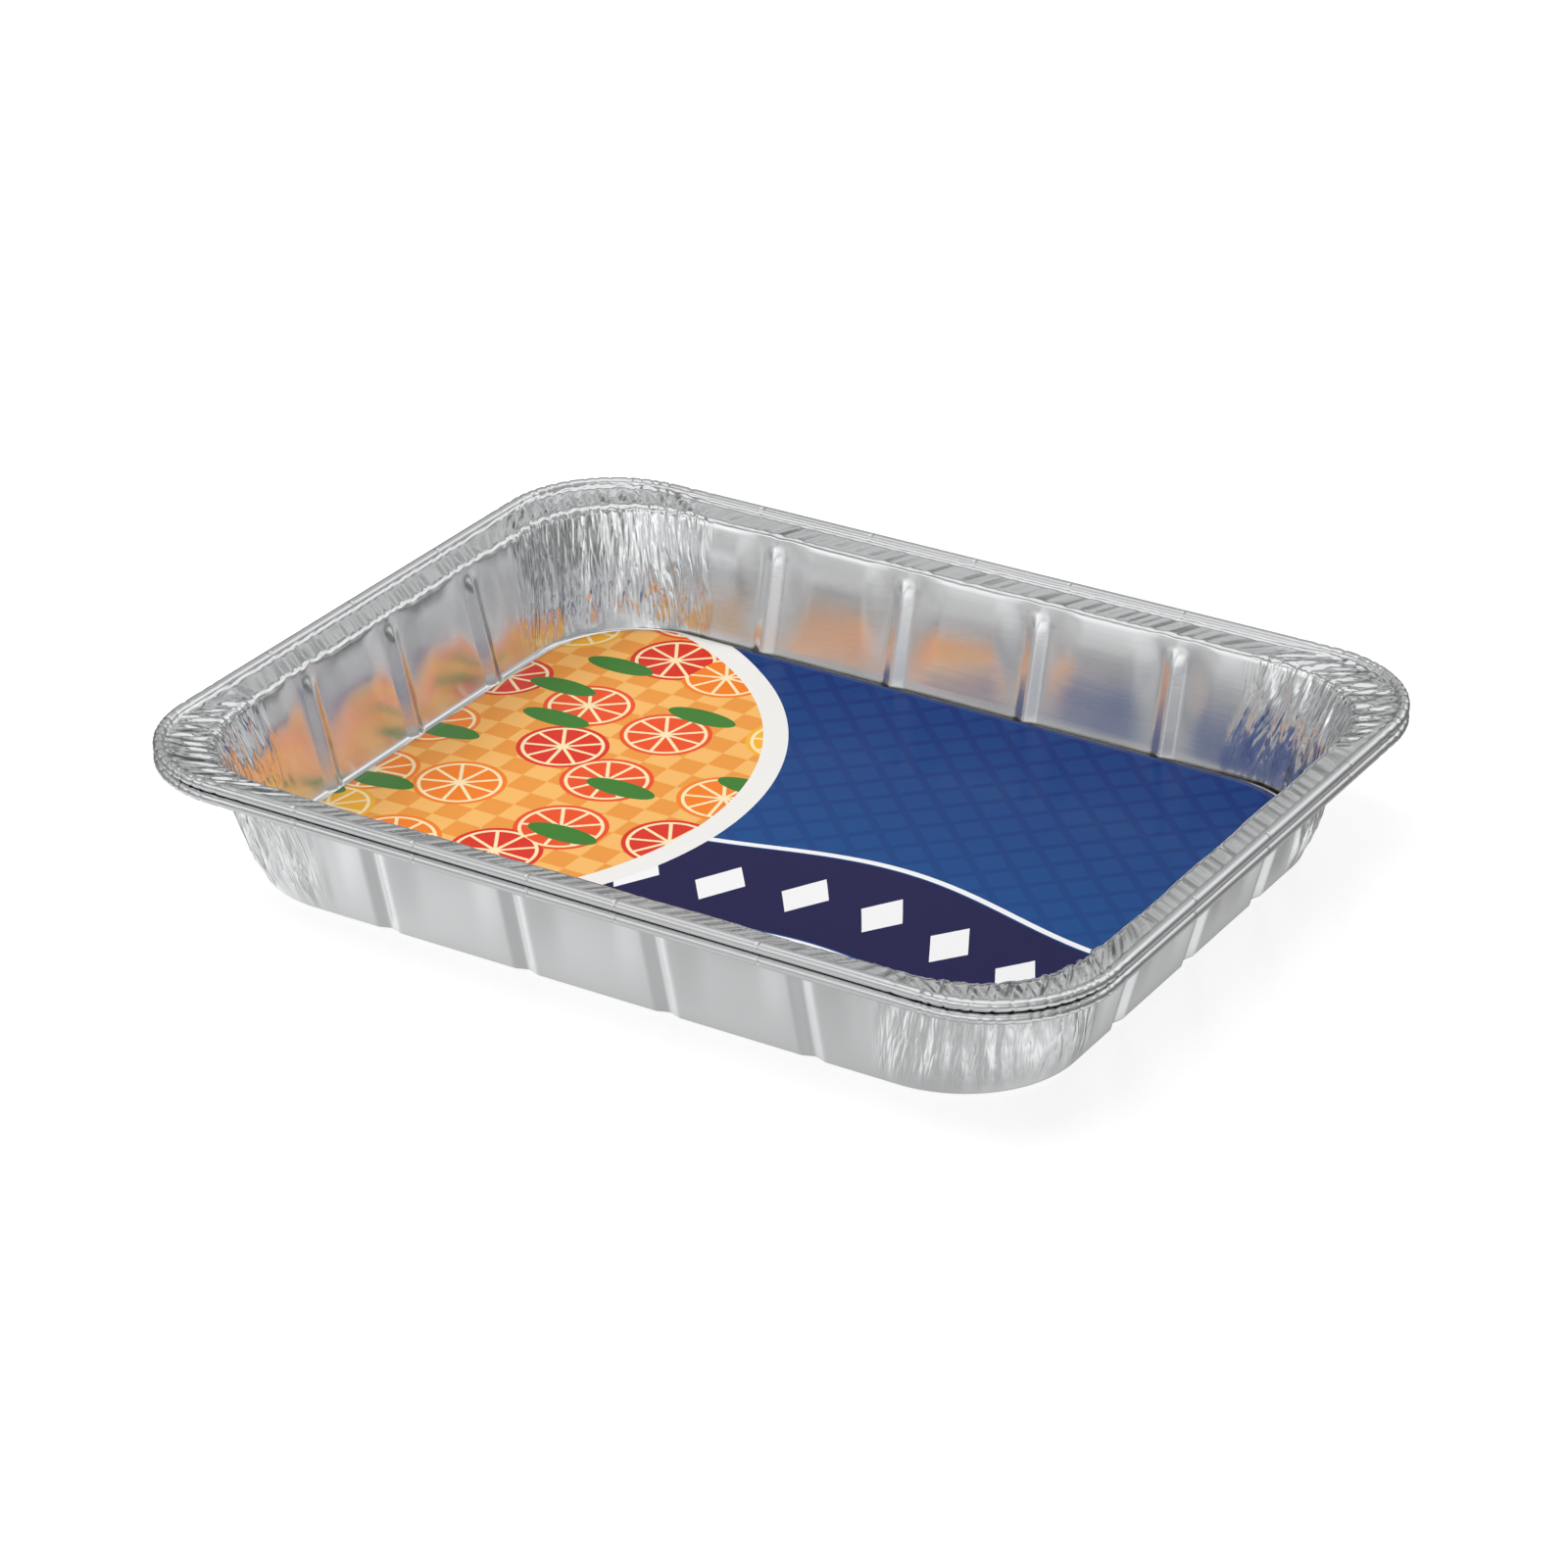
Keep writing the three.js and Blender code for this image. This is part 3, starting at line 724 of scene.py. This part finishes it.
def printed_card():
    """Gloss-coated carton: deep printed colours under a clear varnish that mirrors the foil round it."""
    made, tree = material("carton_board_gloss_printed")
    place = node(tree, PLACE, out="Object")
    x, y = node(tree, SPLIT, [place]).node.outputs[:2]

    # Blue ground, paler towards the front because painted shade darkens it towards the back, with a tone-on-tone
    # lattice of 11 mm lozenges
    painted_back_shade = node(tree, RANGE, {"Value": y, "From Min": -PAINTED_SHADE_REACH * MM, "From Max": PAINTED_SHADE_REACH * MM})
    lattice = node(tree, "ShaderNodeMapping", {
        "Vector": place, "Rotation": (0, 0, math.radians(LATTICE_TURN_DEG)), "Scale": LATTICE,
    })
    lattice = node(
        tree, VORONOI, {"Vector": lattice, "Scale": 1.0, "Randomness": 0.0},
        voronoi_dimensions="2D", distance="CHEBYCHEV",
    )
    solid, clear = LATTICE_EDGE
    lattice = node(tree, RANGE, {
        "Value": lattice, "From Min": solid, "From Max": clear, "To Min": LATTICE_SHOW, "To Max": 0.0,
    })

    # Navy band that waves along the card, edged in white, with a row of white lozenges
    wave = node(tree, MATH, [x, 2 * math.pi / (BAND_WAVE * MM)], operation="MULTIPLY")
    wave = node(tree, MATH, [wave], operation="SINE")
    wave = node(tree, MATH, [wave, BAND_SWING * MM, BAND_AT * MM], operation="MULTIPLY_ADD")
    off = node(tree, MATH, [y, wave], operation="SUBTRACT")
    off = node(tree, MATH, [off], operation="ABSOLUTE")
    band = node(tree, RANGE, {
        "Value": off, "From Min": BAND_HALF * MM, "From Max": (BAND_HALF + BAND_SOFTNESS) * MM,
        "To Min": 1.0, "To Max": 0.0,
    })
    edge = node(tree, MATH, [off, BAND_EDGE * MM, BAND_EDGE_HALF * MM], operation="COMPARE")
    beat = node(tree, MATH, [x, LOZENGE_BEAT * MM], operation="PINGPONG")
    beat = node(tree, MATH, [off, LOZENGE_SLIMNESS, beat], operation="MULTIPLY_ADD")
    lozenge = node(tree, MATH, [beat, LOZENGE_HALF * MM], operation="LESS_THAN")
    white = node(tree, MATH, [edge, lozenge], operation="MAXIMUM")

    # Round warm panel at one end, rimmed in white, strewn with slices of citrus and leaves
    centre = [c * MM for c in ROUNDEL_CENTRE] + [0.0]
    reach = node(tree, VECTOR, [place, centre], operation="DISTANCE", out=1)
    panel = node(tree, MATH, [reach, ROUNDEL_RADIUS * MM], operation="LESS_THAN")
    rim = node(tree, MATH, [reach, ROUNDEL_RIM * MM], operation="LESS_THAN")
    check = node(tree, "ShaderNodeTexChecker", {
        "Vector": place, "Color1": linear("#f3b765"), "Color2": linear("#e9983f"), "Scale": CHECKS,
    })
    cells = node(
        tree, VORONOI, {"Vector": place, "Scale": SLICES, "Randomness": SLICE_SCATTER},
        voronoi_dimensions="2D",
    )
    spoke = node(tree, VECTOR, [place, cells.node.outputs["Position"]], operation="SUBTRACT")
    across, up = node(tree, SPLIT, [spoke]).node.outputs[:2]
    turn = node(tree, MATH, [up, across], operation="ARCTAN2")
    turn = node(tree, MATH, [turn, SEGMENTS / (2 * math.pi)], operation="MULTIPLY")
    turn = node(tree, MATH, [turn, 0.5], operation="PINGPONG")
    turn = node(tree, MATH, [turn, cells], operation="MULTIPLY")
    web = node(tree, MATH, [turn, WEB], operation="LESS_THAN")
    flesh = node(tree, RAMP, [cells.node.outputs["Color"]])
    stops = flesh.node.color_ramp
    stops.interpolation = "CONSTANT"
    for at, code in FLESH:
        stop = stops.elements[0] if at == 0 else stops.elements.new(at)
        stop.color = linear(code)
    stops.elements.remove(stops.elements[-1])
    peel, pith, pulp = (
        node(tree, MATH, [cells, radius], operation="LESS_THAN") for radius in (PEEL, PITH, PULP)
    )
    pulp = node(tree, MATH, [pulp, web], operation="SUBTRACT", use_clamp=True)
    leaf = node(tree, "ShaderNodeMapping", {
        "Vector": place, "Rotation": (0, 0, math.radians(LEAF_TURN_DEG)), "Scale": LEAVES,
    })
    leaf = node(
        tree, VORONOI, {"Vector": leaf, "Scale": 1.0, "Randomness": LEAF_SCATTER}, voronoi_dimensions="2D"
    )
    leaf = node(tree, MATH, [leaf, LEAF], operation="LESS_THAN")

    # Inks, each laid over the ones before it
    picture = check
    for mask, ink in (
        (peel, flesh), (pith, linear("#f8e3b4")), (pulp, flesh), (leaf, linear("#3d7a2b")),
    ):
        picture = node(tree, MIX, {COVER: mask, UNDER: picture, OVER: ink}, out=MIXED, data_type="RGBA")
    # Painted shade, darker navy towards the back, is laid first over the blue ground; the inks follow
    ground = linear("#044c8c")
    for mask, ink in (
        (painted_back_shade, linear("#0c2c6c")), (lattice, linear("#2c7cc0")), (band, linear("#141246")),
        (white, linear("#f1f1f2")), (rim, linear("#eceae6")), (panel, picture),
    ):
        ground = node(tree, MIX, {COVER: mask, UNDER: ground, OVER: ink}, out=MIXED, data_type="RGBA")

    # Board that isn't quite flat ripples the varnish over some 17 mm
    ripple = node(tree, NOISE, {"Vector": place, "Scale": VARNISH_RIPPLES, "Detail": 2.0})
    bump = node(tree, BUMP, {"Strength": 0.15, "Distance": 0.6 * MM, "Height": ripple})
    shader = node(tree, SHADER, {
        "Base Color": ground, "Roughness": 0.4, "Specular IOR Level": 0.1, "Coat Weight": 0.14,
        "Coat Roughness": 0.1, "Normal": bump,
    })
    node(tree, FINISH, {"Surface": shader})
    return made


def bare_board():
    """Uncoated back of the carton: matt warm grey, flecked with fibres drawn 1.7 mm wide so as to show."""
    made, tree = material("carton_board_uncoated_back")
    place = node(tree, PLACE, out="Object")
    fibre = node(tree, NOISE, {"Vector": place, "Scale": FIBRES, "Detail": 4.0})
    tone = node(tree, RAMP, [fibre])
    tone.node.color_ramp.elements[0].color = linear("#b9b4aa")
    tone.node.color_ramp.elements[1].color = linear("#d9d5cc")
    bump = node(tree, BUMP, {"Strength": 0.2, "Distance": 0.1 * MM, "Height": fibre})
    shader = node(tree, SHADER, {"Base Color": tone, "Roughness": 0.85, "Normal": bump})
    node(tree, FINISH, {"Surface": shader})
    return made


foil = rolled_foil()
profile = profile_line()
pan_shape = pan_tree()
SHARED = {
    "Profile": profile, "Foil": foil, "Gauge": FOIL_GAUGE * MM,
    "Core to rim": [(half - core) * MM for half, core in zip(RIM_HALF, CORE)] + [0.0],
    "Long side ribs": LONG_SIDE_RIBS, "Long rib pitch": LONG_RIB_PITCH * MM,
    "Short side ribs": SHORT_SIDE_RIBS, "Short rib pitch": SHORT_RIB_PITCH * MM,
    "Rib width": RIB_WIDTH * MM,
    "Pleat spacing": 4.2 * MM, "Pleat depth": 0.5 * MM,
    "Crimp spacing": CRIMP_SPACING * MM, "Crimp depth": 0.8 * MM,
    "Nick spacing": 4.4 * MM, "Nick depth": 0.4 * MM,
    "Dent width": 32 * MM, "Dent depth": 0.4 * MM, "Wall bow": 1.3 * MM,
}
# The lower pan's folds press outwards, the upper pan's inwards
PANS = {
    "lower_pan": {
        "Seed": 4.0, "Lift": 0.0, "Rib depth": 1.35 * MM,
        "Wrinkle spacing": 6.5 * MM, "Wrinkle depth": -2.9 * MM,
    },
    "upper_pan": {
        "Seed": 11.0, "Lift": STACK_PITCH * MM, "Rib depth": 1.6 * MM,
        "Wrinkle spacing": 5.2 * MM, "Wrinkle depth": 2.2 * MM,
    },
}
for body, own in PANS.items():
    pan = formed(rim_path("foil_" + body), pan_shape, {**SHARED, **own})
    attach(pan, body)
    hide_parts(body)
bpy.data.objects.remove(profile)


def card_insert():
    """Card cut to the base's outline: its left and front edges hang over the raised panel, the others curl up."""
    low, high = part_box("card_insert")
    radius = (BASE_CORNER_RADIUS - CARD_INSET) * MM
    outline = []
    for turn in range(4):
        cx = (high.x - radius) * (1 if turn in (0, 3) else -1)
        cy = (high.y - radius) * (1 if turn in (0, 1) else -1)
        for step in range(CARD_CORNER_STEPS + 1):
            angle = math.pi / 2 * (turn + step / CARD_CORNER_STEPS)
            outline.append((cx + radius * math.cos(angle), cy + radius * math.sin(angle)))
        parts = CARD_SIDE_STEPS[turn % 2]
        span = 2 * ((high.y if turn % 2 else high.x) - radius)
        heading = math.pi / 2 * (turn + 1)
        ex, ey = outline[-1]
        for step in range(1, parts):
            away = span * step / parts
            outline.append((ex - away * math.sin(heading), ey + away * math.cos(heading)))

    def lift(x, y, share):
        raised = ease((x / high.x + y / high.y) / CARD_BEND_SPREAD + 0.5)
        bent = ease((share - CARD_CURL_FROM) / (1 - CARD_CURL_FROM))
        return blend(CARD_DROOP, CARD_CURL, raised) * bent * MM

    count = len(outline)
    rings = len(CARD_RINGS)
    points = [
        (x * share, y * share, level + lift(x, y, share))
        for level in (high.z, low.z) for share in CARD_RINGS for x, y in outline
    ]
    faces = []
    for sheet, flip in ((0, False), (rings, True)):
        middle = [sheet * count + i for i in range(count)]
        faces.append(middle[::-1] if flip else middle)
        for r in range(rings - 1):
            for i in range(count):
                a = (sheet + r) * count + i
                b = (sheet + r) * count + (i + 1) % count
                quad = [a, a + count, b + count, b]
                faces.append(quad[::-1] if flip else quad)
    top, bottom = (rings - 1) * count, (2 * rings - 1) * count
    for i in range(count):
        j = (i + 1) % count
        faces.append([top + i, bottom + i, bottom + j, top + j])
    mesh = bpy.data.meshes.new("printed_card")
    mesh.from_pydata(points, [], faces)
    mesh.materials.append(printed_card())
    mesh.materials.append(bare_board())
    printed = 1 + (rings - 1) * count
    mesh.polygons.foreach_set("material_index", [0 if i < printed else 1 for i in range(len(faces))])
    mesh.polygons.foreach_set("use_smooth", [i < 2 * printed for i in range(len(faces))])
    return linked("printed_card", mesh)


card = card_insert()
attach(card, "card_insert")
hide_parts("card_insert")


def seen_or_mirrored(tree):
    """1 for rays that the eye sees directly or in a mirror or a glass, 0 for rays that only light things."""
    rays = node(tree, "ShaderNodeLightPath").node.outputs
    seen = node(tree, MATH, [rays["Is Camera Ray"], rays["Is Glossy Ray"]], operation="MAXIMUM")
    return node(tree, MATH, [seen, rays["Is Transmission Ray"]], operation="MAXIMUM")


def white_sky():
    """White to the eye and in the foil, but only a plain light on the pieces."""
    sky = bpy.data.worlds.new("white_studio")
    sky.use_nodes = True
    tree = sky.node_tree
    tree.nodes.clear()
    strength = node(tree, RANGE, {"Value": seen_or_mirrored(tree), "To Min": 0.42, "To Max": 1.0})
    light = node(tree, "ShaderNodeBackground", {"Color": WHITE, "Strength": strength})
    node(tree, "ShaderNodeOutputWorld", {"Surface": light})
    return sky


def clear_acrylic():
    """Clear acrylic table: the eye sees it white with the shadow, and the foil mirrors the sheet below it."""
    made, tree = material("acrylic_table_clear_satin")
    rays = node(tree, "ShaderNodeLightPath").node.outputs
    place = node(tree, PLACE, out="Object")
    reach = node(tree, VECTOR, [place], operation="LENGTH", out=1)
    glow = node(tree, RANGE, {"Value": reach, "From Min": 0.5, "From Max": 2.0, "To Min": 0.78, "To Max": 1.0})
    glow = node(tree, MATH, [rays["Is Camera Ray"], glow], operation="MULTIPLY")
    top = node(tree, SHADER, {
        "Base Color": linear("#a8a8a8"), "Roughness": 0.3, "Emission Color": WHITE, "Emission Strength": glow,
    })
    clear = node(tree, "ShaderNodeBsdfTransparent")
    through = node(tree, MATH, [rays["Is Glossy Ray"], rays["Is Shadow Ray"]], operation="MAXIMUM")
    from_below = node(tree, "ShaderNodeNewGeometry", out="Backfacing")
    through = node(tree, MATH, [through, from_below], operation="MAXIMUM")
    top = node(tree, "ShaderNodeMixShader", [through, top, clear])
    node(tree, FINISH, {"Surface": top})
    return made


def white_paper():
    """Matt white paper under the table, lit more to the left and right and towards the front."""
    made, tree = material("paper_sweep_white_matt")
    place = node(tree, PLACE, out="Object")
    x, y = node(tree, SPLIT, [place]).node.outputs[:2]
    glow = node(tree, MATH, [x, 2.0], operation="POWER")
    glow = node(tree, MATH, [glow, SHEET_SIDES, SHEET_GLOW], operation="MULTIPLY_ADD")
    glow = node(tree, MATH, [y, -SHEET_FRONT, glow], operation="MULTIPLY_ADD")
    right = node(tree, MATH, [x, 0.0], operation="MAXIMUM")
    glow = node(tree, MATH, [right, SHEET_RIGHT, glow], operation="MULTIPLY_ADD")
    glow = node(tree, MATH, [glow, SHEET_BRIGHTEST], operation="MINIMUM")
    light = node(tree, GLOW, {"Color": WHITE, "Strength": glow})
    node(tree, FINISH, {"Surface": light})
    return made


def grey_wall():
    """Grey studio wall, which only the foil sees: light at its foot, dark at table height, light above."""
    made, tree = material("grey_studio_wall")
    place = node(tree, PLACE, out="Object")
    height = node(tree, SPLIT, [place], out=2)
    front = node(tree, VECTOR, [place, WALL_FRONT], operation="DOT_PRODUCT", out=1)
    foot = node(tree, RANGE, {
        "Value": front, "From Min": -WALL_AWAY, "From Max": WALL_AWAY, "To Min": 0.3, "To Max": 0.85,
    })
    lower = node(tree, RANGE, {
        "Value": height, "From Min": -SHEET_BELOW, "From Max": 0.0, "To Min": foot, "To Max": 0.1,
    })
    grey = node(tree, RANGE, {
        "Value": height, "From Min": 0.45, "From Max": 1.15, "To Min": 0.18, "To Max": 0.58,
    })
    grey = node(tree, MATH, [grey, lower], operation="MAXIMUM")

    # Brighter in front from the table up, fading towards the ceiling
    front = node(tree, RANGE, {"Value": front, "From Max": WALL_AWAY, "To Max": 0.6})
    above = node(tree, RANGE, {"Value": height, "From Min": -0.35, "From Max": 0.15})
    front = node(tree, MATH, [above, front], operation="MULTIPLY")
    below = node(tree, RANGE, {
        "Value": height, "From Min": 1.2, "From Max": 2.2, "To Min": 1.0, "To Max": 0.1,
    })
    grey = node(tree, MATH, [below, front, grey], operation="MULTIPLY_ADD")
    dusk = node(tree, RANGE, {
        "Value": height, "From Min": 1.65, "From Max": 1.9, "To Min": 1.0, "To Max": 0.5,
    })
    grey = node(tree, MATH, [grey, dusk], operation="MULTIPLY")

    # Uneven all round, with one bright panel at the back right
    patch = node(tree, NOISE, {"Vector": place, "Scale": 1.3, "Detail": 1.0})
    patch = node(tree, RANGE, {
        "Value": patch, "From Min": 0.35, "From Max": 0.65, "To Min": 0.6, "To Max": 1.4,
    })
    panel = node(tree, VECTOR, [place, WALL_PANEL], operation="DOT_PRODUCT", out=1)
    panel = node(tree, RANGE, {
        "Value": panel, "From Min": 0.82 * WALL_AWAY, "From Max": 0.94 * WALL_AWAY, "To Max": 0.55,
    })
    raised = node(tree, RANGE, {"Value": height, "From Min": 0.25, "From Max": 0.6})
    panel = node(tree, MATH, [panel, raised], operation="MULTIPLY")
    grey = node(tree, MATH, [grey, patch, panel], operation="MULTIPLY_ADD")
    light = node(tree, GLOW, {"Color": WHITE, "Strength": grey})
    node(tree, FINISH, {"Surface": light})
    return made


def backing(name, points, faces, finish):
    mesh = bpy.data.meshes.new(name)
    mesh.from_pydata(points, [], faces)
    mesh.materials.append(finish)
    made = linked(name, mesh)
    return made


def aimed(obj, place):
    """Puts a lamp or camera there, looking at the middle of the pack's base."""
    obj.location = place
    obj.rotation_euler = (-obj.location).to_track_quat("-Z", "Y").to_euler()


def studio():
    scene = bpy.context.scene
    scene.view_settings.view_transform = "Standard"
    scene.world = white_sky()
    corners = [(x * FLOOR_HALF, y * FLOOR_HALF, FLOOR_LEVEL) for x, y in ((-1, -1), (1, -1), (1, 1), (-1, 1))]
    backing("floor", corners, [(0, 1, 2, 3)], clear_acrylic())
    angles = [2 * math.pi * i / WALL_SIDES for i in range(WALL_SIDES)]
    points = [
        (math.cos(angle) * WALL_AWAY, math.sin(angle) * WALL_AWAY, level)
        for level in (-SHEET_BELOW, WALL_HEIGHT) for angle in angles
    ]
    pairs = [(i, (i + 1) % WALL_SIDES) for i in range(WALL_SIDES)]
    faces = [(i, j, WALL_SIDES + j, WALL_SIDES + i) for i, j in pairs]
    wall = backing("studio_wall", points, faces, grey_wall())
    sheet = backing("paper_sweep", points[:WALL_SIDES], [tuple(range(WALL_SIDES))], white_paper())
    for only_mirrored in (wall, sheet):
        only_mirrored.visible_camera = False
        only_mirrored.visible_diffuse = False
        only_mirrored.visible_shadow = False
    for name, place, size, power in LAMPS:
        lamp = bpy.data.lights.new(name, "AREA")
        lamp.size = size
        lamp.energy = power
        lit = linked(name, lamp)
        lit.visible_glossy = False
        aimed(lit, place)


def camera():
    lens = bpy.data.cameras.new("camera")
    lens.sensor_width = CAMERA_SENSOR
    lens.lens = CAMERA_LENS
    lens.shift_x, lens.shift_y = CAMERA_SHIFT
    eye = linked("camera", lens)
    turn, tilt = math.radians(CAMERA_AZIMUTH), math.radians(CAMERA_ELEVATION)
    aimed(eye, (
        CAMERA_DISTANCE * math.cos(tilt) * math.sin(turn),
        -CAMERA_DISTANCE * math.cos(tilt) * math.cos(turn),
        CAMERA_DISTANCE * math.sin(tilt),
    ))
    bpy.context.scene.camera = eye


studio()
camera()
